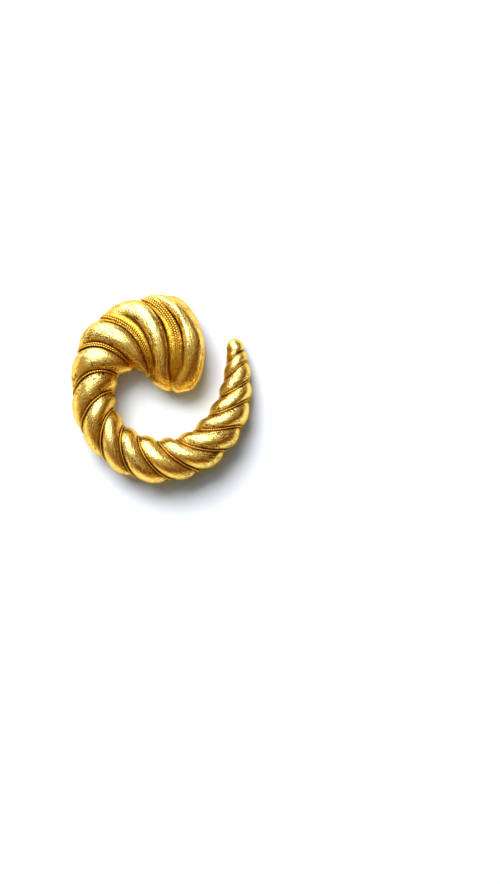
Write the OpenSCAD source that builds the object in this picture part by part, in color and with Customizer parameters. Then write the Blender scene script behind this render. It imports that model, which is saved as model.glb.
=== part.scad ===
// Twisted hoop earring with a thick head, a thin tip and a clip on the back.
// It lies on its back: the front faces up, and the wearer's up is +Y.

/* [Hoop] */
// Height of the head's crest above the surface that the earring lies on
head_h = 8.8; // [8.4:0.2:9.2]
// Height of the flat back of the head above that surface
back_h = 2.6; // [2.4:0.1:3]
// Depth of the grooves, as a share of the hoop's half width
groove_depth = 0.2; // [0.18:0.01:0.21]
// Length of the head's rounded end
head_end_l = 4.7; // [4.4:0.1:5]
// Length of the tip's rounded end
tip_end_l = 2.4; // [2:0.1:2.8]

/* [Groove wires] */
// Diameter of the wires that lie side by side in the head's two widest grooves
head_wire_d = 0.48; // [0.4:0.02:0.5]
// Diameter of those in the third groove
narrow_wire_d = 0.38; // [0.34:0.02:0.4]
// Their diameter at the inner side, where the grooves close up
head_wire_end_d = 0.22; // [0.18:0.02:0.26]
// Diameter of a wire where it leaves the head
wire_d = 0.34; // [0.3:0.02:0.4]
// Diameter of a wire at the tip
wire_tip_d = 0.18; // [0.16:0.02:0.22]
// Gap between a wire and its groove
wire_gap = 0.09; // [0.07:0.01:0.11]

/* [Ear clip] */
// Thickness of the clip's metal
clip_t = 0.7; // [0.6:0.05:0.8]
// Width of the strip that is fixed to the head
strip_w = 5; // [4:0.5:6]
// Length of the strip, from the bend to its end
strip_l = 10; // [8:0.5:11]
// Width of the paddle behind the ear lobe
paddle_w = 7.6; // [6:0.2:8]
// Length of the paddle, from the bend to its rounded end
paddle_l = 12; // [10:0.5:12.5]
// Gap between the strip and the flat back of the head
clip_gap = 0.05; // [0.04:0.01:0.1]

/* [Hidden] */

gold = [0.86, 0.66, 0.27];
old_gold = [0.72, 0.5, 0.16];

// Sections of the hoop from the head to the tip. Each is an ellipse that is
// cut off flat at the back.
// Columns: centre x, centre y, half width, direction from the inner to the
// outer side in degrees, height of the crest, height of the widest part,
// height of the flat back.
CENTRE_X = 0;
CENTRE_Y = 1;
HALF_W = 2;
TURN = 3;
CREST = 4;
WIDEST = 5;
FLAT = 6;
sections = [
    [  3.5,    8.5, 9.2, 100, head_h - 0.2, back_h + 1,   back_h],
    [  0.5,    8.5, 9.5,  99, head_h,       back_h + 1,   back_h],
    [ -2.6,    8.9, 8.6, 101, head_h,       back_h + 1,   back_h],
    [ -5.2,    8.9, 7.8, 112, head_h - 0.2, back_h + 1.2, back_h],
    [ -7.8,    8.3, 6.9, 129, 8.6, 4.1,  2.0],
    [-10.4,    6.4, 5.9, 148, 8.6, 4.3,  1.2],
    [-12.1,    3.8, 4.9, 166, 8.5, 4.3,  0.5],
    [-12.7,    0.9, 4.4, 180, 8.4, 4.2,  0],
    [-12.8,   -2.1, 4.3, 190, 8.3, 4.13, 0],
    [-12.3,   -5.1, 4.2, 202, 8.2, 4.08, 0],
    [-10.6,   -8.3, 4.1, 218, 8.0, 3.98, 0],
    [ -8.2,  -10.8, 4.2, 234, 8.1, 4.03, 0],
    [ -4.9,  -12.7, 4.4, 251, 8.3, 4.13, 0],
    [ -1.2,  -13.6, 4.4, 266, 8.4, 4.18, 0],
    [  2.8,  -13.3, 4.3, 279, 8.3, 4.13, 0],
    [  6.8,  -11.8, 4.2, 296, 8.1, 4.03, 0],
    [ 10.0,   -9.2, 4.1, 312, 7.9, 3.93, 0],
    [ 12.3,   -6.0, 3.8, 329, 7.4, 3.68, 0],
    [ 13.6,   -2.9, 3.4, 342, 6.6, 3.28, 0],
    [ 14.2,    0.1, 3.0, 354, 5.9, 2.94, 0],
    [ 14.4,    2.9, 2.6, 364, 5.2, 2.62, 0],
    [ 14.3,    5.4, 2.2, 370, 4.5, 2.34, 0],
    [ 14.15,   7.2, 1.8, 373, 3.8, 2.0,  0]
];

// Where each groove crosses the inner side, the crest and the outer side,
// measured along the hoop from the first section, and how far it bulges back
// and forth between them. A groove that leaves the outer side comes back on the
// inner side three rows on.
INNER = 0;
OVER = 1;
OUTER = 2;
LEAN = 3;
grooves = [
    [ 3.1,  0.7,  5.9, -1.1],
    [ 9.0,  7.2, 11.2,  0.4],
    [13.9, 13.1, 16.3, 0],
    [19.0, 18.3, 22.2, 0],
    [22.8, 24.0, 28.1, 0],
    [26.9, 29.4, 33.4, 0],
    [32.2, 34.5, 38.5, 0],
    [36.9, 39.8, 44.2, 0],
    [41.8, 45.3, 48.6, 0],
    [46.2, 50.4, 53.8, 0],
    [51.1, 55.8, 57.8, 0],
    [56.3, 60.3, 62.3, 0],
    [61.5, 64.1, 65.6, 0],
    [65.8, 68.0, 68.9, 0],
    [69.4, 70.5, 71.0, 0]
];
strands = 3;
groove_count = len(grooves);

// The first grooves are wide and cross the head nearly square. From this
// groove on they are narrow, as between the strands of a rope.
rope_like_from = 5.7;
// Width of a groove's floor, as a share of a lobe, and how round the lobes are:
// 2 is a plain arc
head_floor = 0.44;
rope_floor = 0.05;
head_fullness = 2.6;
rope_fullness = 2.1;
// On the inner side of the head the lobes come together: the angle where that
// starts, the share of a groove's depth that is left, and how much fuller the
// lobes are
inner_from = 120;
inner_depth = 0.4;
inner_fullness = 3;
// Its grooves get shallow towards the outer side too: the angle where that starts
// and the share of the depth that is left
outer_from = 50;
outer_depth = 0.45;
// How square the rounded ends are, seen from the front and from the side: 2 is
// an ellipse
head_end_fullness = 1.8;
head_end_rise = 4;
tip_end_fullness = 2;
// Where the grooves run out before the smooth end of the tip
run_out_before = 0.4;
run_out_l = 1.6;
// Distance between grooves beyond the first and the last one
first_pitch = 5.5;
last_pitch = 3;

// Points in a ring, and rings from one groove to the next
ring_points = 30;
rings_per_groove = 10;
head_rings = 6;
tip_rings = 7;
// The rings run along the grooves up to this groove and from the last one on.
// In the middle of the hoop they stand upright.
along_until = 3;
upright_from = 6;
upright_until = 12;

// A wire has a ring of points for each such step round the hoop, in degrees.
wire_step = 12;
wire_sides = 6;
// Angles at which the head's wires start, near the inner side, and end
head_wire_from = 132;
head_wire_to = 0;
// Angle over which they reach their full diameter
head_wire_swell = 72;
// How many wires each of the three grooves holds, and how far they lie from its
// middle, as a share of a wire's radius
HOW_MANY = 0;
ASIDE = 1;
THICK = 2;
head_wires = [
    [3, -0.6, head_wire_d],
    [2,  0.4, head_wire_d],
    [2,  0,   narrow_wire_d]
];
// Half thickness of the solder between two wires, as a share of their radius
solder = 0.65;
// Angle at which the single wires start, and where they stop along the hoop
groove_wire_from = 180;
groove_wire_until = 70.2;
// A single wire lies between the sloping walls of its groove, above its floor.
seat_rise = 1.4;

function clamp(v, low, high) = min(max(v, low), high);
function ease(t) = let (c = clamp(t, 0, 1)) c * c * (3 - 2 * c);
function mix(a, b, t) = a + (b - a) * t;
function sum_to(steps, i) = i < 0 ? 0 : steps[i] + sum_to(steps, i - 1);
function column(table, c) = [for (row = table) row[c]];
function unit(v) = v / norm(v);
function middle_of(values) = (min(values) + max(values)) / 2;
function mean(points) = [for (p = points) 1] * points / len(points);

// A smooth curve through values at given places, straight beyond its ends
function place_before(places, s, i = 0) =
    i >= len(places) - 2 || s < places[i + 1] ? i : place_before(places, s, i + 1);
function steepness(places, values, i) =
    let (a = max(i - 1, 0), b = min(i + 1, len(places) - 1))
    (values[b] - values[a]) / (places[b] - places[a]);
function smooth(places, values, s) =
    let (
        i = place_before(places, s),
        span = places[i + 1] - places[i],
        t = clamp((s - places[i]) / span, 0, 1),
        from = steepness(places, values, i),
        to = steepness(places, values, i + 1),
        beyond = s < places[i] ? (s - places[i]) * from
               : s > places[i + 1] ? (s - places[i + 1]) * to
               : 0 * from
    )
    (2 * t^3 - 3 * t^2 + 1) * values[i] + (t^3 - 2 * t^2 + t) * span * from
    + (3 * t^2 - 2 * t^3) * values[i + 1] + (t^3 - t^2) * span * to + beyond;

// Distance of each section along the hoop
section_steps = [for (i = [1:len(sections) - 1])
    norm([sections[i][CENTRE_X] - sections[i - 1][CENTRE_X],
          sections[i][CENTRE_Y] - sections[i - 1][CENTRE_Y]])];
section_at = [for (i = [0:len(sections) - 1]) sum_to(section_steps, i - 1)];
hoop_l = section_at[len(sections) - 1];
head_end_at = -head_end_l;
tip_end_at = hoop_l + tip_end_l;

// Numbers count the strands along the hoop: a whole number is a groove, and a
// half is the ridge of a lobe. Angle 0 is the outer side of the hoop, 90 the
// crest, 180 the inner side, and negative angles are the back.
groove_numbers = [for (k = [1:groove_count]) k];
inner_at = column(grooves, INNER);
over_at = column(grooves, OVER);
outer_at = column(grooves, OUTER);
lean_by = column(grooves, LEAN);

// Where the line with a given number passes an angle
function line_place(number, angle) =
    let (
        inner = smooth(groove_numbers, inner_at, number),
        over = smooth(groove_numbers, over_at, number),
        outer = smooth(groove_numbers, outer_at, number),
        lean = smooth(groove_numbers, lean_by, number),
        next = smooth(groove_numbers, inner_at, number + strands)
    )
    mix(outer, angle < 0 ? next : inner, (1 - cos(angle)) / 2)
    + (over - (inner + outer) / 2) * sin(angle) + lean * sin(2 * angle);

// Share of the groove's depth where a line passes an angle at a place: 1 on the
// floor, 0 on a ridge. The first lobe has a groove on one side only.
function dip(number, angle, s) =
    let (
        n = max(angle < -90 ? number + strands : number, 0.5),
        head_like = 1 - ease((n - 1) / (rope_like_from - 1)),
        inner = ease((abs(angle) - inner_from) / (180 - inner_from)),
        shallow = head_like * inner,
        low_edge = head_like * ease(1 - abs(angle) / outer_from),
        floor_w = mix(rope_floor, head_floor, head_like^3 * (1 - inner)^2),
        full = mix(rope_fullness, head_fullness, head_like) + inner_fullness * shallow,
        run_out = 1 - ease((s - hoop_l + run_out_before) / run_out_l),
        off = abs(2 * (n - floor(n)) - 1)
    )
    run_out * mix(1, inner_depth, shallow) * mix(1, outer_depth, low_edge)
    * pow(min(1, off / (1 - floor_w)), full);

// How much of the section is left at a place in the rounded ends
function end_left(past, length, fullness) =
    past <= 0 ? 1 : pow(max(0, 1 - pow(past / length, fullness)), 1 / fullness);

// A point of the hoop at a place, an angle and a share of the groove's depth
function hoop_point(s, angle, depth) =
    let (
        on_hoop = clamp(s, 0, hoop_l),
        row = smooth(section_at, sections, on_hoop),
        across = [cos(row[TURN]), sin(row[TURN])],
        along = [-sin(row[TURN]), cos(row[TURN])],
        tip_left = end_left(s - hoop_l, tip_end_l, tip_end_fullness),
        wide = min(end_left(-s, head_end_l, head_end_fullness), tip_left),
        high = min(end_left(-s, head_end_l, head_end_rise), tip_left),
        size = 1 - groove_depth * depth,
        side = row[HALF_W] * size * wide * cos(angle),
        rise = (row[CREST] - row[WIDEST]) * size * high * sin(angle),
        middle = [row[CENTRE_X], row[CENTRE_Y]] + (s - on_hoop) * along + side * across
    )
    [middle.x, middle.y, max(row[WIDEST] + rise, row[FLAT], 0)];

// How far a point of a ring lags behind the first one, in ring steps: none
// along a groove on the front, one a point where the ring stands upright
half_ring = ring_points / 2;
function along_lag(j) = max(0, 2 * (j - half_ring));
function upright_share(c) = c < upright_from
    ? clamp((c - along_until) / (upright_from - along_until), 0, 1)
    : clamp((groove_count - c) / (groove_count - upright_until), 0, 1);
function number_at(c, j) = c - mix(along_lag(j), j, upright_share(c)) / rings_per_groove;
// The point of the ring that is nearest to a groove lies in it.
function snapped_number(c, j) =
    let (
        number = number_at(c, j),
        step = (number_at(c + 0.01, j) - number_at(c - 0.01, j)) / 0.02 / rings_per_groove,
        groove = round(number)
    )
    number - groove > -0.51 * step && number - groove < 0.49 * step ? groove : number;
function point_angle(j) = 180 - 360 * j / ring_points;

ring_counts = [for (i = [0:(groove_count - 1) * rings_per_groove]) 1 + i / rings_per_groove];
first_line = [for (j = [0:ring_points - 1]) line_place(number_at(1, j), point_angle(j))];
last_line = [for (j = [0:ring_points - 1])
    line_place(number_at(groove_count, j), point_angle(j))];

// Rings of the rounded ends. Those of the head start with the far wall of the
// first groove, up to the ridge of its lobe.
function head_ring(past, t) = [for (j = [0:ring_points - 1])
    let (s = mix(first_line[j] - past * first_pitch, head_end_at, t), angle = point_angle(j),
         number = number_at(1, j) - (first_line[j] - s) / first_pitch)
    hoop_point(s, angle, dip(number, angle, s))];
function tip_ring(t) = [for (j = [0:ring_points - 1])
    let (s = mix(last_line[j], tip_end_at, t), angle = point_angle(j),
         number = number_at(groove_count, j) + (s - last_line[j]) / last_pitch)
    hoop_point(s, angle, dip(number, angle, s))];
function strand_ring(c) = [for (j = [0:ring_points - 1])
    let (number = snapped_number(c, j), angle = point_angle(j), s = line_place(number, angle))
    hoop_point(s, angle, dip(number, angle, s))];

hoop_rings = concat(
    [for (i = [head_rings:-1:1]) head_ring(0.5, sin(90 * i / (head_rings + 1)))],
    [for (i = [rings_per_groove / 2:-1:1]) head_ring(i / rings_per_groove, 0)],
    [for (c = ring_counts) strand_ring(c)],
    [for (i = [1:tip_rings]) tip_ring(sin(90 * i / (tip_rings + 1)) ^ 1.5)]);
head_pole = hoop_point(head_end_at, 90, 0);
tip_pole = hoop_point(tip_end_at, 90, 0);

// The middle of the hoop's outline is the origin.
origin_x = middle_of([for (ring = hoop_rings) for (p = ring) p.x]);
origin_y = middle_of([for (ring = hoop_rings) for (p = ring) p.y]);

// A closed skin over rings that all have the same number of points
module skin(rings, first_pole, last_pole) {
    n = len(rings[0]);
    last_ring = (len(rings) - 1) * n;
    points = concat([for (ring = rings) for (p = ring) p], [first_pole, last_pole]);
    sides = [for (r = [0:len(rings) - 2]) for (j = [0:n - 1])
        let (a = r * n + j, b = r * n + (j + 1) % n)
        each [[a, b + n, b], [a, a + n, b + n]]];
    first_end = [for (j = [0:n - 1]) [len(points) - 2, j, (j + 1) % n]];
    last_end = [for (j = [0:n - 1]) [len(points) - 1, last_ring + (j + 1) % n, last_ring + j]];
    polyhedron(points = points, faces = concat(sides, first_end, last_end), convexity = 12);
}

// Outline of a wire's section: across the groove, and up from its axis
round_outline = [for (i = [0:wire_sides - 1])
    [cos(360 * i / wire_sides), sin(360 * i / wire_sides)]];
// Wires side by side, soldered along the lines where they touch
function row_outline(wires, aside) =
    let (
        half = sin(60),
        under = [for (k = [0:wires - 1]) let (x = 2 * k - wires + 1)
            each [[x - 0.5, -half], [x + 0.5, -half], if (k < wires - 1) [x + 1, -solder]]],
        over = [for (k = [wires - 1:-1:0]) let (x = 2 * k - wires + 1)
            each [[x + 0.5, half], [x - 0.5, half], if (k > 0) [x - 1, solder]]]
    )
    [for (p = concat(under, [[wires, 0]], over, [[-wires, 0]])) [p.x + aside, p.y]];

// A wire along a groove. Its angles fall steadily: each turn round the hoop
// brings it to the groove that is three rows on.
module laid_wire(groove, angles, radii, outline, seat) {
    last = len(angles) - 1;
    floors = [for (a = angles) floor_point(groove, a)];
    ways = [for (i = [0:last]) unit(floors[min(i + 1, last)] - floors[max(i - 1, 0)])];
    ups = [for (i = [0:last]) unit(cross(ways[i],
        floor_point(groove, angles[i], 0.1) - floor_point(groove, angles[i], -0.1)))];
    axis = [for (i = [0:last]) floors[i] + seat * (radii[i] + wire_gap) * ups[i]];
    rings = [for (i = [0:last]) [for (p = outline)
        axis[i] + radii[i] * (p.x * cross(ups[i], ways[i]) + p.y * ups[i])]];
    skin(rings, mean(rings[0]), mean(rings[last]));
}
function wire_place(groove, angle) =
    let (turns = floor((180 - angle) / 360))
    line_place(groove + strands * turns, angle + 360 * turns);
// A point on the floor of a groove, or beside its middle line
function floor_point(groove, angle, beside = 0) =
    let (turns = floor((180 - angle) / 360), a = angle + 360 * turns, number = groove + strands * turns)
    hoop_point(line_place(number + beside, a), a, dip(number, a, wire_place(groove, angle)));

module head_wire(groove) {
    row = head_wires[groove - 1];
    angles = [for (a = [head_wire_from:-wire_step:head_wire_to]) a];
    radii = [for (a = angles)
        mix(head_wire_end_d, row[THICK], ease((head_wire_from - a) / head_wire_swell)) / 2];
    color(old_gold) at_origin()
        laid_wire(groove, angles, radii, row_outline(row[HOW_MANY], row[ASIDE]), 1);
}

module groove_wire(groove) {
    all_angles = [for (a = [groove_wire_from:-wire_step:-360 * strands * 2]) a];
    angles = [for (a = all_angles) if (wire_place(groove, a) < groove_wire_until) a];
    last = len(angles) - 1;
    radii = [for (i = [0:last]) mix(wire_d, wire_tip_d, i / last) / 2];
    color(old_gold) at_origin() laid_wire(groove, angles, radii, round_outline, seat_rise);
}

module at_origin() {
    translate([-origin_x, -origin_y, 0]) children();
}

module hoop() {
    color(gold) at_origin() skin(hoop_rings, head_pole, tip_pole);
}

module head_wire_1() {
    head_wire(1);
}

module head_wire_2() {
    head_wire(2);
}

module head_wire_3() {
    head_wire(3);
}

module groove_wire_1() {
    groove_wire(4);
}

module groove_wire_2() {
    groove_wire(5);
}

module groove_wire_3() {
    groove_wire(6);
}

// The clip is one strip of metal bent back on itself: a strip on the flat back
// of the head, a bend, and a paddle that presses behind the ear lobe.
clip_x = 1.6;
bend_y = 3.2;
clip_top = back_h - clip_gap;
bend_r = clip_top / 2;
module tongue(width, length, thickness) {
    linear_extrude(thickness) {
        translate([-width / 2, 0]) square([width, length - width / 2]);
        translate([0, length - width / 2]) circle(d = width, $fn = 48);
    }
}
module ear_clip() {
    neck_l = paddle_w / 2;
    color(gold) at_origin() translate([clip_x, bend_y, 0]) {
        translate([0, 0, clip_top - clip_t]) tongue(strip_w, strip_l, clip_t);
        tongue(strip_w, paddle_l, clip_t);
        translate([0, neck_l, 0]) {
            linear_extrude(clip_t) {
                circle(d = paddle_w, $fn = 64);
                translate([-paddle_w / 2, 0]) square([paddle_w, paddle_l - paddle_w]);
                translate([0, paddle_l - paddle_w]) circle(d = paddle_w, $fn = 64);
            }
        }
        intersection() {
            translate([0, 0, bend_r]) rotate([0, 90, 0]) difference() {
                cylinder(h = strip_w, r = bend_r, center = true, $fn = 64);
                cylinder(h = strip_w + 1, r = bend_r - clip_t, center = true, $fn = 64);
            }
            translate([-strip_w, -clip_top, -1]) cube([2 * strip_w, clip_top, clip_top + 2]);
        }
    }
}

hoop();
head_wire_1();
head_wire_2();
head_wire_3();
groove_wire_1();
groove_wire_2();
groove_wire_3();
ear_clip();
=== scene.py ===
import math

import bpy
import numpy as np
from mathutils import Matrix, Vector


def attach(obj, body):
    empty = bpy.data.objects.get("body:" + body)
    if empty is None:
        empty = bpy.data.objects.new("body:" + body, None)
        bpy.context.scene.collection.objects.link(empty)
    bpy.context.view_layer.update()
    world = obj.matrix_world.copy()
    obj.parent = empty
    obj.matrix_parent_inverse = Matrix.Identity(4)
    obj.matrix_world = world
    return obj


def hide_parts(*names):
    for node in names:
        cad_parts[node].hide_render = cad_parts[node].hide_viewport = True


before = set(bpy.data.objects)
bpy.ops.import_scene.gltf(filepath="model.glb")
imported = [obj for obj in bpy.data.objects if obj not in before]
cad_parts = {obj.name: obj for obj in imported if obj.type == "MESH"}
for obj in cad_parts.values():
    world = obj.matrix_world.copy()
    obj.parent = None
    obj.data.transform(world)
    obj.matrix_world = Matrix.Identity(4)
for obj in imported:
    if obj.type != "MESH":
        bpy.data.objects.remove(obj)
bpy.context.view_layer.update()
bpy.ops.object.select_all(action="DESELECT")

# Camera: straight above the earring as it lies on the table, from far away, so
# that hardly any perspective shows. A pixel of the picture is 0.19 mm.
scene = bpy.context.scene
pixel = 0.00019
picture_w = 500
picture_h = 884
# the earring's own middle lies in the upper left quarter of the picture
earring_column = 161.75
earring_row = 389
view_x = (picture_w / 2 - earring_column) * pixel
view_y = (earring_row - picture_h / 2) * pixel
camera_height = 1.5
sensor_w = 36
bpy.ops.object.camera_add(location=(view_x, view_y, camera_height), rotation=(0, 0, 0))
camera = bpy.context.object
camera.name = "camera"
camera.data.sensor_width = sensor_w
camera.data.lens = sensor_w * camera_height / (picture_h * pixel)
camera.data.clip_start = 0.01
camera.data.clip_end = 20
scene.camera = camera
scene.view_settings.view_transform = "Standard"
scene.view_settings.look = "None"

# Table: a wide, flat sheet of plain white paper that the earring lies on. It is
# matt, and fills the whole picture.
bpy.ops.object.select_all(action="DESELECT")
bpy.ops.mesh.primitive_plane_add(size=6, location=(0, 0, 0))
table = bpy.context.object
table.name = "table"
paper = bpy.data.materials.new("white_paper")
paper.use_nodes = True
paper_shader = paper.node_tree.nodes["Principled BSDF"]
paper_shader.inputs["Base Color"].default_value = (0.90, 0.92, 0.90, 1)
paper_shader.inputs["Roughness"].default_value = 0.9
paper_shader.inputs["Specular IOR Level"].default_value = 0
table.data.materials.append(paper)

# Light: one soft box above the far side of the table, a little to the left, and
# a weak fill for the paper. The metal mirrors a room that is pale overhead and
# warm near the horizon, with a tall soft box and a low warm wall in it.
key_tilt = math.radians(41)
key_turn = math.radians(29)
key_away = 0.9
key_from = Vector((-math.sin(key_tilt) * math.sin(key_turn),
                   math.sin(key_tilt) * math.cos(key_turn), math.cos(key_tilt)))
bpy.ops.object.light_add(type="AREA", location=key_from * key_away)
key = bpy.context.object
key.name = "soft_box"
key.rotation_mode = "QUATERNION"
key.rotation_quaternion = key_from.to_track_quat("Z", "Y")
key.data.shape = "RECTANGLE"
key.data.size = 0.66
key.data.size_y = 0.5
key.data.energy = 11.4
key.visible_glossy = False
room = bpy.data.worlds.new("dim_room")
scene.world = room
room.use_nodes = True
tree = room.node_tree
direction = tree.nodes.new("ShaderNodeTexCoord")


def facing(axis, low, high, bend="NONE"):
    """How much the seen direction lies along an axis, from 0 to 1."""
    along = tree.nodes.new("ShaderNodeVectorMath")
    along.operation = "DOT_PRODUCT"
    along.inputs[1].default_value = axis
    tree.links.new(direction.outputs["Generated"], along.inputs[0])
    value = along.outputs["Value"]
    if bend == "ABSOLUTE":
        plain = tree.nodes.new("ShaderNodeMath")
        plain.operation = "ABSOLUTE"
        tree.links.new(value, plain.inputs[0])
        value = plain.outputs["Value"]
    share = tree.nodes.new("ShaderNodeMapRange")
    share.interpolation_type = "SMOOTHSTEP"
    share.inputs["From Min"].default_value = low
    share.inputs["From Max"].default_value = high
    tree.links.new(value, share.inputs["Value"])
    return share.outputs["Result"]


def both(first_share, second_share):
    """The product of two shares."""
    product = tree.nodes.new("ShaderNodeMath")
    product.operation = "MULTIPLY"
    tree.links.new(first_share, product.inputs[0])
    tree.links.new(second_share, product.inputs[1])
    return product.outputs["Value"]


def plain_light(color):
    """A background of one colour, with a strength of 1."""
    background = tree.nodes.new("ShaderNodeBackground")
    background.inputs["Color"].default_value = color
    return background


def shine(share, dim, bright, background):
    """Makes a background's strength dim where the share is 0 and bright where it is 1."""
    strength = tree.nodes.new("ShaderNodeMapRange")
    strength.inputs["To Min"].default_value = dim
    strength.inputs["To Max"].default_value = bright
    tree.links.new(share, strength.inputs["Value"])
    tree.links.new(strength.outputs["Result"], background.inputs["Strength"])


def either(share, at_0, at_1):
    """One background where the share is 0 and another one where it is 1."""
    switch = tree.nodes.new("ShaderNodeMixShader")
    tree.links.new(share, switch.inputs["Fac"])
    tree.links.new(at_0, switch.inputs[1])
    tree.links.new(at_1, switch.inputs[2])
    return switch.outputs["Shader"]


def together(first_light, second_light):
    total = tree.nodes.new("ShaderNodeAddShader")
    tree.links.new(first_light, total.inputs[0])
    tree.links.new(second_light, total.inputs[1])
    return total.outputs["Shader"]


height = facing((-0.28, 0.40, 0.87), 0.1, 0.92)
walls = tree.nodes.new("ShaderNodeMix")
walls.data_type = "RGBA"
walls.inputs["A"].default_value = (1, 0.41, 0.03, 1)
walls.inputs["B"].default_value = (1, 0.98, 0.78, 1)
tree.links.new(height, walls.inputs["Factor"])
mirrored = tree.nodes["Background"]
tree.links.new(walls.outputs["Result"], mirrored.inputs["Color"])
shine(height, 0.17, 0.57, mirrored)
fill = plain_light((0.94, 1, 0.86, 1))
shine(height, 0.03, 0.24, fill)
# the tall soft box reaches from nearly overhead down to the horizon
soft_box = plain_light((0.72, 0.90, 1.6, 1))
upward = facing((-0.37, 0.67, 0.64), 0.70, 0.80)
sideways = facing((0.875, 0.485, 0), 0.50, 0.32, "ABSOLUTE")
shine(both(upward, sideways), 0, 3.5, soft_box)
# the warm wall stands on the near side
near_wall = plain_light((1, 0.75, 0.3, 1))
level = facing((0, 0, 1), 0.5, 0.15)
nearby = facing((-0.45, -0.89, 0), -0.1, 0.7)
shine(both(level, nearby), 0, 0.6, near_wall)
lights = together(soft_box.outputs["Background"], near_wall.outputs["Background"])
metal_sees = together(mirrored.outputs["Background"], lights)
# past the table, a side view has a plain pale backdrop
backdrop = plain_light((0.78, 0.80, 0.83, 1))
ray = tree.nodes.new("ShaderNodeLightPath")
lit = either(ray.outputs["Is Diffuse Ray"], metal_sees, fill.outputs["Background"])
seen = either(ray.outputs["Is Camera Ray"], lit, backdrop.outputs["Background"])
tree.links.new(seen, tree.nodes["World Output"].inputs["Surface"])

# Hoop: one casting, thick at the head and thin at the tip. Three fat strands wind
# round it like a rope. It is gold plated, brushed along the strands, and left
# dark in the grooves by a stain and by painted shade. Sizes are in millimetres.
mm = 0.001
head_h = 8.8
back_h = 2.6
groove_depth = 0.2
head_end_l = 4.7
tip_end_l = 2.4
strands = 3
# from this groove on, the grooves are as narrow as between the strands of a rope
rope_like_from = 5.7
# the width of a groove's floor, as a share of a strand, and how round the strands are
head_floor = 0.44
rope_floor = 0.05
head_fullness = 2.6
rope_fullness = 2.1
# on the inner side of the head the strands come together, from this angle on, with
# this share of the grooves' depth left and strands that are this much fuller
inner_from = 120
inner_depth = 0.4
inner_fullness = 3
# the head's grooves get shallow towards the outer side too, from this angle on
outer_from = 50
outer_depth = 0.45
# how square the rounded ends are, the head's end from the front and from the side
head_end_fullness = 1.8
head_end_rise = 4
tip_end_fullness = 2
# the grooves run out near the tip, from this far before its end to past it
fade_from = 0.4
fade_l = 1.6
sections = np.array([
    # centre x, y, half width, turn, crest, widest, flat back
    (3.5, 8.5, 9.2, 100, head_h - 0.2, back_h + 1, back_h),
    (0.5, 8.5, 9.5, 99, head_h, back_h + 1, back_h),
    (-2.6, 8.9, 8.6, 101, head_h, back_h + 1, back_h),
    (-5.2, 8.9, 7.8, 112, head_h - 0.2, back_h + 1.2, back_h),
    (-7.8, 8.3, 6.9, 129, 8.6, 4.1, 2.0),
    (-10.4, 6.4, 5.9, 148, 8.6, 4.3, 1.2),
    (-12.1, 3.8, 4.9, 166, 8.5, 4.3, 0.5),
    (-12.7, 0.9, 4.4, 180, 8.4, 4.2, 0),
    (-12.8, -2.1, 4.3, 190, 8.3, 4.13, 0),
    (-12.3, -5.1, 4.2, 202, 8.2, 4.08, 0),
    (-10.6, -8.3, 4.1, 218, 8.0, 3.98, 0),
    (-8.2, -10.8, 4.2, 234, 8.1, 4.03, 0),
    (-4.9, -12.7, 4.4, 251, 8.3, 4.13, 0),
    (-1.2, -13.6, 4.4, 266, 8.4, 4.18, 0),
    (2.8, -13.3, 4.3, 279, 8.3, 4.13, 0),
    (6.8, -11.8, 4.2, 296, 8.1, 4.03, 0),
    (10.0, -9.2, 4.1, 312, 7.9, 3.93, 0),
    (12.3, -6.0, 3.8, 329, 7.4, 3.68, 0),
    (13.6, -2.9, 3.4, 342, 6.6, 3.28, 0),
    (14.2, 0.1, 3.0, 354, 5.9, 2.94, 0),
    (14.4, 2.9, 2.6, 364, 5.2, 2.62, 0),
    (14.3, 5.4, 2.2, 370, 4.5, 2.34, 0),
    (14.15, 7.2, 1.8, 373, 3.8, 2.0, 0)])
grooves = np.array([
    # along the hoop at the inner side, over the crest and at the outer side, and lean
    (3.1, 0.7, 5.9, -1.1), (9.0, 7.2, 11.2, 0.4), (13.9, 13.1, 16.3, 0), (19.0, 18.3, 22.2, 0),
    (22.8, 24.0, 28.1, 0), (26.9, 29.4, 33.4, 0), (32.2, 34.5, 38.5, 0), (36.9, 39.8, 44.2, 0),
    (41.8, 45.3, 48.6, 0), (46.2, 50.4, 53.8, 0), (51.1, 55.8, 57.8, 0), (56.3, 60.3, 62.3, 0),
    (61.5, 64.1, 65.6, 0), (65.8, 68.0, 68.9, 0), (69.4, 70.5, 71.0, 0)])
last_groove = len(grooves)
groove_numbers = np.arange(1, last_groove + 1.0)
section_at = np.concatenate(([0], np.cumsum(np.hypot(*np.diff(sections[:, :2], axis=0).T))))
hoop_l = section_at[-1]


def ease(t):
    t = np.clip(t, 0, 1)
    return t * t * (3 - 2 * t)


def mix(a, b, t):
    return a + (b - a) * t


def smooth(places, values, s):
    """A smooth curve through values at places, and straight beyond its ends."""
    s = np.asarray(s, float)
    many = values.ndim > 1
    i = np.clip(np.searchsorted(places, s, side="right") - 1, 0, len(places) - 2)
    slope = np.empty_like(values)
    for k in range(len(places)):
        a, b = max(k - 1, 0), min(k + 1, len(places) - 1)
        slope[k] = (values[b] - values[a]) / (places[b] - places[a])
    span = places[i + 1] - places[i]
    t = np.clip((s - places[i]) / span, 0, 1)
    low, high = np.minimum(s - places[i], 0), np.maximum(s - places[i + 1], 0)
    if many:
        t, span, low, high = t[..., None], span[..., None], low[..., None], high[..., None]
    return ((2 * t**3 - 3 * t**2 + 1) * values[i] + (t**3 - 2 * t**2 + t) * span * slope[i]
            + (3 * t**2 - 2 * t**3) * values[i + 1] + (t**3 - t**2) * span * slope[i + 1]
            + low * slope[i] + high * slope[i + 1])


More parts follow.
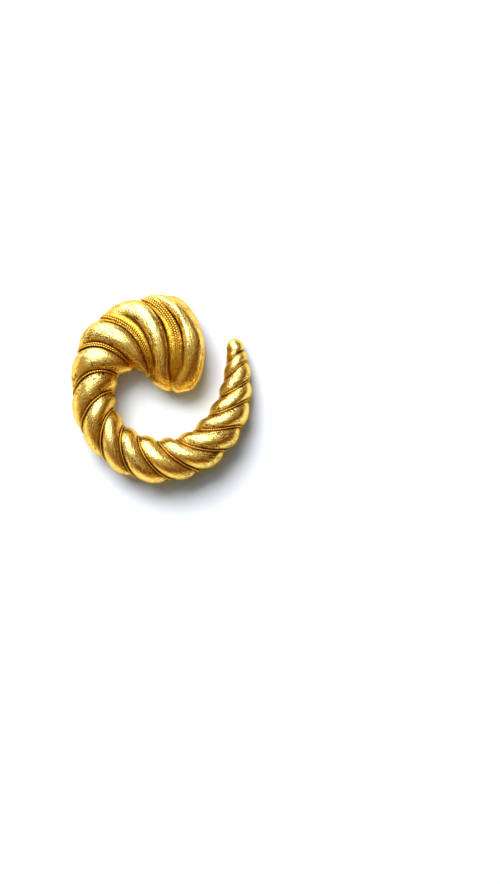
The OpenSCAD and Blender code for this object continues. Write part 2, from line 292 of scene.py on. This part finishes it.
def line_place(number, angle):
    """How far along the hoop a groove, or a line between grooves, passes an angle.
    Angle 0 is the outer side, 90 the crest and 180 the inner side."""
    inner = smooth(groove_numbers, grooves[:, 0], number)
    over = smooth(groove_numbers, grooves[:, 1], number)
    outer = smooth(groove_numbers, grooves[:, 2], number)
    lean = smooth(groove_numbers, grooves[:, 3], number)
    following = smooth(groove_numbers, grooves[:, 0], number + strands)
    a = np.radians(angle)
    return (mix(outer, np.where(angle < 0, following, inner), (1 - np.cos(a)) / 2)
            + (over - (inner + outer) / 2) * np.sin(a) + lean * np.sin(2 * a))


def strand_shape(number, angle):
    """How far a line is from the ridge of its strand, the width of the next
    groove's floor, and how rope-like and how far inside the place is."""
    n = np.maximum(np.where(angle < -90, number + strands, number), 0.5)
    rope_like = ease((n - 1) / (rope_like_from - 1))
    inner = ease((np.abs(angle) - inner_from) / (180 - inner_from))
    floor_w = mix(rope_floor, head_floor, (1 - rope_like) ** 3 * (1 - inner) ** 2)
    return np.abs(2 * (n - np.floor(n)) - 1), floor_w, rope_like, inner


def groove_dip(number, angle, s):
    """1 on the floor of a groove and 0 on the ridge of a strand."""
    off, floor_w, rope_like, inner = strand_shape(number, angle)
    shallow = (1 - rope_like) * inner
    edge = (1 - rope_like) * ease(1 - np.abs(angle) / outer_from)
    fullness = mix(head_fullness, rope_fullness, rope_like) + inner_fullness * shallow
    fade = 1 - ease((s - hoop_l + fade_from) / fade_l)
    left = mix(1, inner_depth, shallow) * mix(1, outer_depth, edge) * fade
    return left * np.minimum(1, off / (1 - floor_w)) ** fullness


def end_left(past, length, fullness):
    """How much of the section is left in a rounded end."""
    return np.maximum(0, 1 - np.clip(past / length, 0, 1) ** fullness) ** (1 / fullness)


def hoop_point(s, angle, dip):
    """The point at a length along the hoop and an angle round it."""
    on_hoop = np.clip(s, 0, hoop_l)
    past = s - on_hoop
    row = smooth(section_at, sections, on_hoop)
    x, y, half_w, turn, crest, widest, flat_back = np.moveaxis(row, -1, 0)
    turn, a = np.radians(turn), np.radians(angle)
    tip_left = end_left(s - hoop_l, tip_end_l, tip_end_fullness)
    head_left = end_left(-s, head_end_l, head_end_fullness)
    head_left_up = end_left(-s, head_end_l, head_end_rise)
    size = 1 - groove_depth * dip
    side = half_w * size * np.minimum(head_left, tip_left) * np.cos(a)
    rise = size * np.minimum(head_left_up, tip_left) * np.sin(a)
    z = widest + (crest - widest) * rise
    return np.stack((x - np.sin(turn) * past + np.cos(turn) * side,
                     y + np.cos(turn) * past + np.sin(turn) * side,
                     np.maximum(np.maximum(z, flat_back), 0)), axis=-1)


ring_points = 120
per_groove = ring_points // strands
# the ring starts at the middle of the back, where a seam in the finish can't be seen
ring_angle = 270 - 360 * np.arange(ring_points + 1) / ring_points
true_angle = np.where(ring_angle > 180, ring_angle - 360, ring_angle)
# rings run along the grooves up to the third one and at the last one, and stand
# upright in between, with three grooves for each change
lean_grooves = 3
front_turn = 360 / strands
back_turn = 180 / strands
along_lag = np.where(ring_angle > 180, (180 - ring_angle) / back_turn,
                     np.maximum(0, -ring_angle / back_turn))
upright_lag = (180 - ring_angle) / front_turn
count = 1 + np.arange((last_groove - 1) * per_groove + 1) / per_groove
upright = np.minimum(np.clip((count - lean_grooves) / lean_grooves, 0, 1),
                     np.clip((last_groove - count) / lean_grooves, 0, 1))
number = count[:, None] - mix(along_lag, upright_lag, upright[:, None])
# behind the seam the same line has a number that is three higher
turned = np.where(ring_angle > 180, -strands, 0)
place = line_place(number + turned, true_angle)
first, last = place[0], place[-1]
# the head has rings beyond the first groove: some on the near half of its first
# strand, and more from there on round its end
end_rings = 40
near_rings = 20
tip_rings = 24
first_strand_w = 5.5
last_strand_w = 3
end_t = np.sin(np.radians(90 * np.arange(end_rings, 0, -1) / (end_rings + 1)))[:, None]
near_t = (np.arange(near_rings, 0, -1) / near_rings / 2)[:, None]
end_place = mix(first - first_strand_w / 2, -head_end_l, end_t)
head_place = np.concatenate((end_place, first - near_t * first_strand_w))
head_number = number[0] - (first - head_place) / first_strand_w
tip_t = np.sin(np.radians(90 * np.arange(1, tip_rings + 1) / (tip_rings + 1)))[:, None] ** 1.5
tip_place = mix(last, hoop_l + tip_end_l, tip_t)
tip_number = number[-1] + (tip_place - last) / last_strand_w
place = np.concatenate((head_place, place, tip_place))
number = np.concatenate((head_number, number, tip_number))
angles = np.broadcast_to(true_angle, place.shape)
dip = groove_dip(number + turned, angles, place)
ring = hoop_point(place, angles, dip)
poles = hoop_point(np.array([-head_end_l, hoop_l + tip_end_l]), np.array([90.0, 90.0]), np.zeros(2))
middle = np.append((ring[..., :2].reshape(-1, 2).max(0) + ring[..., :2].reshape(-1, 2).min(0)) / 2, 0)
rings, cols = len(ring), ring_points
points = np.concatenate((ring[:, :-1].reshape(-1, 3), poles)) - middle
r_at, c_at = np.meshgrid(np.arange(rings - 1), np.arange(cols), indexing="ij")
a = (r_at * cols + c_at).ravel()
b = (r_at * cols + (c_at + 1) % cols).ravel()
quads = np.stack((a, a + cols, b + cols, b), axis=1)
first_fan = [(rings * cols, j, (j + 1) % cols) for j in range(cols)]
last_fan = [(rings * cols + 1, (rings - 1) * cols + (j + 1) % cols, (rings - 1) * cols + j)
            for j in range(cols)]
hoop_mesh = bpy.data.meshes.new("twisted_hoop")
hoop_mesh.from_pydata((points * mm).tolist(), [], quads.tolist() + first_fan + last_fan)
hoop_mesh.polygons.foreach_set("use_smooth", np.ones(len(hoop_mesh.polygons), bool))
# across the strands, and along them in centimetres, for the brush marks
girth = smooth(section_at, sections[:, 2], np.clip(place, 0, hoop_l))
along = np.radians(ring_angle) * girth / 10
uv = np.stack((number, -along), axis=-1)
corner = np.stack((uv[:-1, :-1], uv[1:, :-1], uv[1:, 1:], uv[:-1, 1:]), axis=2).reshape(-1, 2)
fan_uv = np.concatenate([np.stack((uv[e, j], uv[e, j], uv[e, j + 1]))
                         for e in (0, -1) for j in range(cols)])
strand_map = hoop_mesh.uv_layers.new(name="strands")
strand_map.data.foreach_set("uv", np.concatenate((corner, fan_uv)).astype(np.float32).ravel())
# masks for the material: the floors of the wide grooves, and the outer side
off, floor_w = strand_shape(number + turned, angles)[:2]
wide_floor = ease((off - 1 + floor_w) / floor_w / 0.5) * ease((floor_w - 0.1) / 0.2)
outward = ease((125 - angles) / 70)
for name, values in (("groove", dip), ("wide_floor", wide_floor), ("outward", outward)):
    mask = hoop_mesh.attributes.new(name, "FLOAT", "POINT")
    mask.data.foreach_set("value", np.append(values[:, :-1].ravel(), (0, 0)).astype(np.float32))
hoop_mesh.update()
hoop = bpy.data.objects.new("twisted_hoop", hoop_mesh)
scene.collection.objects.link(hoop)

clean_plate = (1.0, 0.75, 0.22, 1)
worn_plate = (0.94, 0.60, 0.09, 1)
# painted shade: the warmer, darker plate towards the grooves, partly worn plate
warm_plate_and_flank_shade = (0.86, 0.47, 0.05, 1)
patina_brown = (0.2, 0.08, 0.008, 1)
# painted shade: near-black colour deep in the grooves, partly a real stain
groove_stain_and_shade = (0.075, 0.017, 0.002, 1)
floor_gold = (1.0, 0.62, 0.05, 1)
floor_brown = (0.68, 0.30, 0.015, 1)
satin_gold = bpy.data.materials.new("satin_gold")
satin_gold.use_nodes = True
tree = satin_gold.node_tree
gold = tree.nodes["Principled BSDF"]
gold.inputs["Metallic"].default_value = 1
gold.inputs["Specular Tint"].default_value = (1, 0.72, 0.35, 1)
where = tree.nodes.new("ShaderNodeUVMap")
where.uv_map = "strands"


def brush_marks(tree, coordinates, across, along, detail):
    """A pattern of fine lines that run along the strands."""
    stretch = tree.nodes.new("ShaderNodeMapping")
    stretch.inputs["Scale"].default_value = (across, along, 1)
    tree.links.new(coordinates, stretch.inputs["Vector"])
    marks = tree.nodes.new("ShaderNodeTexNoise")
    marks.inputs["Scale"].default_value = 1
    marks.inputs["Detail"].default_value = detail
    marks.inputs["Roughness"].default_value = 0.6
    tree.links.new(stretch.outputs["Vector"], marks.inputs["Vector"])
    return marks.outputs["Fac"]


def remap(tree, value, low, high, to_low, to_high):
    node = tree.nodes.new("ShaderNodeMapRange")
    node.inputs["From Min"].default_value = low
    node.inputs["From Max"].default_value = high
    node.inputs["To Min"].default_value = to_low
    node.inputs["To Max"].default_value = to_high
    tree.links.new(value, node.inputs["Value"])
    return node.outputs["Result"]


def blend_colors(tree, share, first_color, second_color):
    node = tree.nodes.new("ShaderNodeMix")
    node.data_type = "RGBA"
    tree.links.new(share, node.inputs["Factor"])
    for socket, color in (("A", first_color), ("B", second_color)):
        if isinstance(color, tuple):
            node.inputs[socket].default_value = color
        else:
            tree.links.new(color, node.inputs[socket])
    return node.outputs["Result"]


def combine(tree, operation, first_value, second_value):
    node = tree.nodes.new("ShaderNodeMath")
    node.operation = operation
    node.use_clamp = True
    for i, value in enumerate((first_value, second_value)):
        if isinstance(value, (int, float)):
            node.inputs[i].default_value = value
        else:
            tree.links.new(value, node.inputs[i])
    return node.outputs["Value"]


ripple = brush_marks(tree, where.outputs["UV"], 2.8, 2.2, 2)
streak = brush_marks(tree, where.outputs["UV"], 12, 4, 3)
scratch = brush_marks(tree, where.outputs["UV"], 26, 7, 3)
here = tree.nodes.new("ShaderNodeTexCoord")
pits = tree.nodes.new("ShaderNodeTexNoise")
pits.inputs["Scale"].default_value = 2600
pits.inputs["Detail"].default_value = 3
tree.links.new(here.outputs["Object"], pits.inputs["Vector"])
patches = tree.nodes.new("ShaderNodeTexNoise")
patches.inputs["Scale"].default_value = 330
patches.inputs["Detail"].default_value = 2
tree.links.new(here.outputs["Object"], patches.inputs["Vector"])
in_groove = tree.nodes.new("ShaderNodeAttribute")
in_groove.attribute_name = "groove"
depth = in_groove.outputs["Fac"]
on_floor = tree.nodes.new("ShaderNodeAttribute")
on_floor.attribute_name = "wide_floor"
floor = on_floor.outputs["Fac"]
outward_side = tree.nodes.new("ShaderNodeAttribute")
outward_side.attribute_name = "outward"
# the plate is redder and darker down the strands' flanks, partly worn plate and partly
# painted shade of the grooves, with dirt in the scratches and the pits, and a dark
# stain and painted shade deep in the grooves, most of all on the outer side
plate = blend_colors(tree, remap(tree, streak, 0.38, 0.66, 0, 1), clean_plate, worn_plate)
# painted shade on the flanks: the plate turns warmer and darker towards the grooves
warm_and_flank_shade = blend_colors(tree, remap(tree, depth, 0.35, 0.85, 0, 0.9), plate, warm_plate_and_flank_shade)
patina = combine(tree, "MULTIPLY", remap(tree, scratch, 0.50, 0.62, 0, 1),
                 remap(tree, patches.outputs["Fac"], 0.42, 0.58, 0.1, 1))
pitted = combine(tree, "MULTIPLY", remap(tree, pits.outputs["Fac"], 0.56, 0.61, 0, 1),
                 remap(tree, patches.outputs["Fac"], 0.47, 0.57, 0, 1))
dirt = combine(tree, "MULTIPLY", combine(tree, "MAXIMUM", patina, pitted),
               remap(tree, depth, 0, 0.25, 0.65, 1))
# painted shade deep in the grooves, partly a stain, strongest on the outer side
stain_and_groove_shade = combine(tree, "MULTIPLY", remap(tree, depth, 0.58, 0.84, 0, 1),
                remap(tree, streak, 0.35, 0.6, 0.8, 1))
stain_and_groove_shade = combine(tree, "MULTIPLY", stain_and_groove_shade, remap(tree, outward_side.outputs["Fac"], 0, 1, 0.5, 1))
aged = blend_colors(tree, dirt, warm_and_flank_shade, patina_brown)
dark = blend_colors(tree, stain_and_groove_shade, aged, groove_stain_and_shade)
floor_color = blend_colors(tree, remap(tree, scratch, 0.4, 0.7, 0, 1), floor_gold, floor_brown)
tree.links.new(blend_colors(tree, floor, dark, floor_color), gold.inputs["Base Color"])
roughness = combine(tree, "ADD", remap(tree, scratch, 0.3, 0.75, 0.08, 0.19),
                    remap(tree, ripple, 0.4, 0.7, 0, 0.08))
roughness = combine(tree, "ADD", roughness, combine(tree, "MULTIPLY", floor, 0.06))
tree.links.new(roughness, gold.inputs["Roughness"])
relief = tree.nodes.new("ShaderNodeBump")
tree.links.new(remap(tree, depth, 0, 0.3, 0.6, 1), relief.inputs["Strength"])
relief.inputs["Distance"].default_value = 0.00036
marks = combine(tree, "ADD", combine(tree, "MULTIPLY", ripple, 0.30),
                combine(tree, "MULTIPLY", streak, 0.26))
marks = combine(tree, "ADD", marks, combine(tree, "MULTIPLY", scratch, 0.12))
marks = combine(tree, "ADD", marks, combine(tree, "MULTIPLY", pits.outputs["Fac"], 0.26))
marks = combine(tree, "SUBTRACT", marks, combine(tree, "MULTIPLY", pitted, 0.12))
tree.links.new(marks, relief.inputs["Height"])
tree.links.new(relief.outputs["Normal"], gold.inputs["Normal"])
hoop_mesh.materials.append(satin_gold)
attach(hoop, "root")
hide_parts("hoop")

# Head wires: rows of thin beaded gold wire, soldered side by side on the floors of
# the three wide grooves of the head. They close up towards the inner side, and
# thin out at their outer ends.
bead_pitch = 0.48
wire_gap = 0.05
head_seat = 1
head_wire_from = 132
head_wire_to = 0
head_wire_end_d = 0.22
closing_angle = 72
thinning_angle = 16


def groove_floor(groove, angle, beside=0.0):
    """A point on the floor of a groove. Each turn leads to the groove three on."""
    turns = np.floor((180 - angle) / 360)
    on_ring = angle + 360 * turns
    n = groove + strands * turns
    s = line_place(n, on_ring)
    return hoop_point(line_place(n + beside, on_ring), on_ring, groove_dip(n, on_ring, s))


def unit(v):
    return v / np.linalg.norm(v, axis=-1, keepdims=True)


def beaded_wire(groove, from_angle, to_angle, radius_at, seat, aside, pitch, sides, per_bead,
                shift=0):
    """Points and faces of one beaded wire that lies in a groove, and its painted shade."""
    dense = np.linspace(from_angle, to_angle, int(abs(from_angle - to_angle)) + 2)
    floors = groove_floor(groove, dense)
    length = np.concatenate(([0], np.cumsum(np.linalg.norm(np.diff(floors, axis=0), axis=1))))
    beads = max(2, round(length[-1] / pitch))
    at = np.linspace(0, length[-1], beads * per_bead + 1)
    angle = np.interp(at, length, dense)
    floors = groove_floor(groove, angle)
    way = unit(np.gradient(floors, axis=0))
    up = unit(np.cross(way, groove_floor(groove, angle, 0.1) - groove_floor(groove, angle, -0.1)))
    side = np.cross(up, way)
    radius = radius_at(angle)
    phase = np.abs((np.arange(len(at)) / per_bead + shift / 2) % 1 - 0.5) * 2
    bead = radius * (0.45 + 0.55 * np.sqrt(np.maximum(0, 1 - phase**2)))
    centre = floors + up * (seat * (radius + wire_gap))[:, None] + side * (aside * radius)[:, None]
    turn = 2 * np.pi * np.arange(sides) / sides
    rim = (np.cos(turn)[None, :, None] * side[:, None] + np.sin(turn)[None, :, None] * up[:, None])
    rows = centre[:, None] + bead[:, None, None] * rim
    points = np.concatenate((rows.reshape(-1, 3), centre[[0, -1]]))
    # painted shade between the beads and low on the wire's sides, where it meets the groove
    painted_bead_shade = np.maximum(phase[:, None] ** 3, ease((0.4 - np.sin(turn)) / 0.8)[None, :])
    faces = []
    for i in range(len(at) - 1):
        for j in range(sides):
            p, q = i * sides + j, i * sides + (j + 1) % sides
            faces.append((p, p + sides, q + sides, q))
    end = (len(at) - 1) * sides
    faces += [(len(points) - 2, j, (j + 1) % sides) for j in range(sides)]
    faces += [(len(points) - 1, end + (j + 1) % sides, end + j) for j in range(sides)]
    return points, faces, np.append(painted_bead_shade.ravel(), (1, 1))


def wire_object(name, wires):
    """One piece from one or more wires, with its faces turned outwards."""
    points, faces, bead_shade_lists, at = [], [], [], 0
    for wire_points, wire_faces, painted_bead_shade in wires:
        points.append(wire_points)
        bead_shade_lists.append(painted_bead_shade)
        faces += [tuple(i + at for i in f) for f in wire_faces]
        at += len(wire_points)
    mesh = bpy.data.meshes.new(name)
    mesh.from_pydata(((np.concatenate(points) - middle) * mm).tolist(), [], faces)
    mask = mesh.attributes.new("painted_bead_shade", "FLOAT", "POINT")
    mask.data.foreach_set("value", np.concatenate(bead_shade_lists).astype(np.float32))
    piece = bpy.data.objects.new(name, mesh)
    scene.collection.objects.link(piece)
    bpy.ops.object.select_all(action="DESELECT")
    bpy.context.view_layer.objects.active = piece
    piece.select_set(True)
    bpy.ops.object.mode_set(mode="EDIT")
    bpy.ops.mesh.select_all(action="SELECT")
    bpy.ops.mesh.normals_make_consistent(inside=False)
    bpy.ops.object.mode_set(mode="OBJECT")
    bpy.ops.object.shade_smooth()
    return piece


clean_wire = (1.0, 0.64, 0.08, 1)
worn_wire = (0.92, 0.5, 0.04, 1)
# painted shade on the wires: between the beads and low on their sides
painted_bead_shade_brown = (0.40, 0.12, 0.01, 1)
groove_gold = bpy.data.materials.new("groove_gold")
groove_gold.use_nodes = True
tree = groove_gold.node_tree
gold = tree.nodes["Principled BSDF"]
gold.inputs["Metallic"].default_value = 1
gold.inputs["Roughness"].default_value = 0.22
here = tree.nodes.new("ShaderNodeTexCoord")
spots = tree.nodes.new("ShaderNodeTexNoise")
spots.inputs["Scale"].default_value = 1400
spots.inputs["Detail"].default_value = 4
tree.links.new(here.outputs["Object"], spots.inputs["Vector"])
# painted shade between the beads and low on the wires' sides, stored per point
painted_bead_shade = tree.nodes.new("ShaderNodeAttribute")
painted_bead_shade.attribute_name = "painted_bead_shade"
wire_gold = blend_colors(tree, remap(tree, spots.outputs["Fac"], 0.35, 0.7, 0, 1),
                         clean_wire, worn_wire)
tree.links.new(blend_colors(tree, painted_bead_shade.outputs["Fac"], wire_gold, painted_bead_shade_brown),
               gold.inputs["Base Color"])

head_rows = [
    # groove, rows of wire, how far they lie to one side in half wires, diameter
    (1, 3, -0.6, 0.48),
    (2, 2, 0.4, 0.48),
    (3, 2, 0, 0.38)]
for groove, rows, shift, full_d in head_rows:
    wires = []
    for k in range(rows):
        def wire_radius(angle, full_d=full_d):
            opened = ease((head_wire_from - angle) / closing_angle)
            unthinned = mix(0.1, 1, ease(angle / thinning_angle))
            return mix(head_wire_end_d, full_d, opened * unthinned) / 2
        aside = shift + 2 * k - (rows - 1)
        wires.append(beaded_wire(groove, head_wire_from, head_wire_to, wire_radius, head_seat,
                                 aside, bead_pitch, 10, 8, k % 2))
    piece = wire_object(f"beaded_head_wire_{groove}", wires)
    piece.data.materials.append(groove_gold)
    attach(piece, "root")
    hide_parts(f"head_wire_{groove}")

# Groove wires: single beaded gold wires, soldered in the grooves from the fourth
# one on. Each winds round the hoop in every third groove and thins out to the tip.
wire_d = 0.34
wire_tip_d = 0.18
groove_pitch = 0.42
groove_seat = 1.25
groove_wire_until = 70.2
for k in (1, 2, 3):
    groove = k + 3
    wound = np.arange(180, -1500, -1.0)
    turns = np.floor((180 - wound) / 360)
    reach = line_place(groove + strands * turns, wound + 360 * turns)
    stop = wound[reach < groove_wire_until][-1]

    def wire_radius(angle, stop=stop):
        return mix(wire_d, wire_tip_d, (180 - angle) / (180 - stop)) / 2

    wire = beaded_wire(groove, 180, stop, wire_radius, groove_seat, 0, groove_pitch, 8, 6)
    piece = wire_object(f"beaded_groove_wire_{k}", [wire])
    piece.data.materials.append(groove_gold)
    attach(piece, "root")
    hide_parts(f"groove_wire_{k}")

# Ear clip: one strip of sprung brass bent back on itself behind the head, with
# rounded edges and a wide paddle. It is plated like the hoop, but left smooth.
clean_clip = (0.86, 0.60, 0.22, 1)
worn_clip = (0.76, 0.49, 0.14, 1)
clip_gold = bpy.data.materials.new("clip_gold")
clip_gold.use_nodes = True
tree = clip_gold.node_tree
gold = tree.nodes["Principled BSDF"]
gold.inputs["Metallic"].default_value = 1
here = tree.nodes.new("ShaderNodeTexCoord")
lines = brush_marks(tree, here.outputs["Object"], 9000, 700, 4)
tree.links.new(blend_colors(tree, remap(tree, lines, 0.35, 0.7, 0, 1), clean_clip, worn_clip),
               gold.inputs["Base Color"])
tree.links.new(remap(tree, lines, 0.3, 0.75, 0.2, 0.36), gold.inputs["Roughness"])
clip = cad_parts["ear_clip"]
clip.data.materials.clear()
clip.data.materials.append(clip_gold)
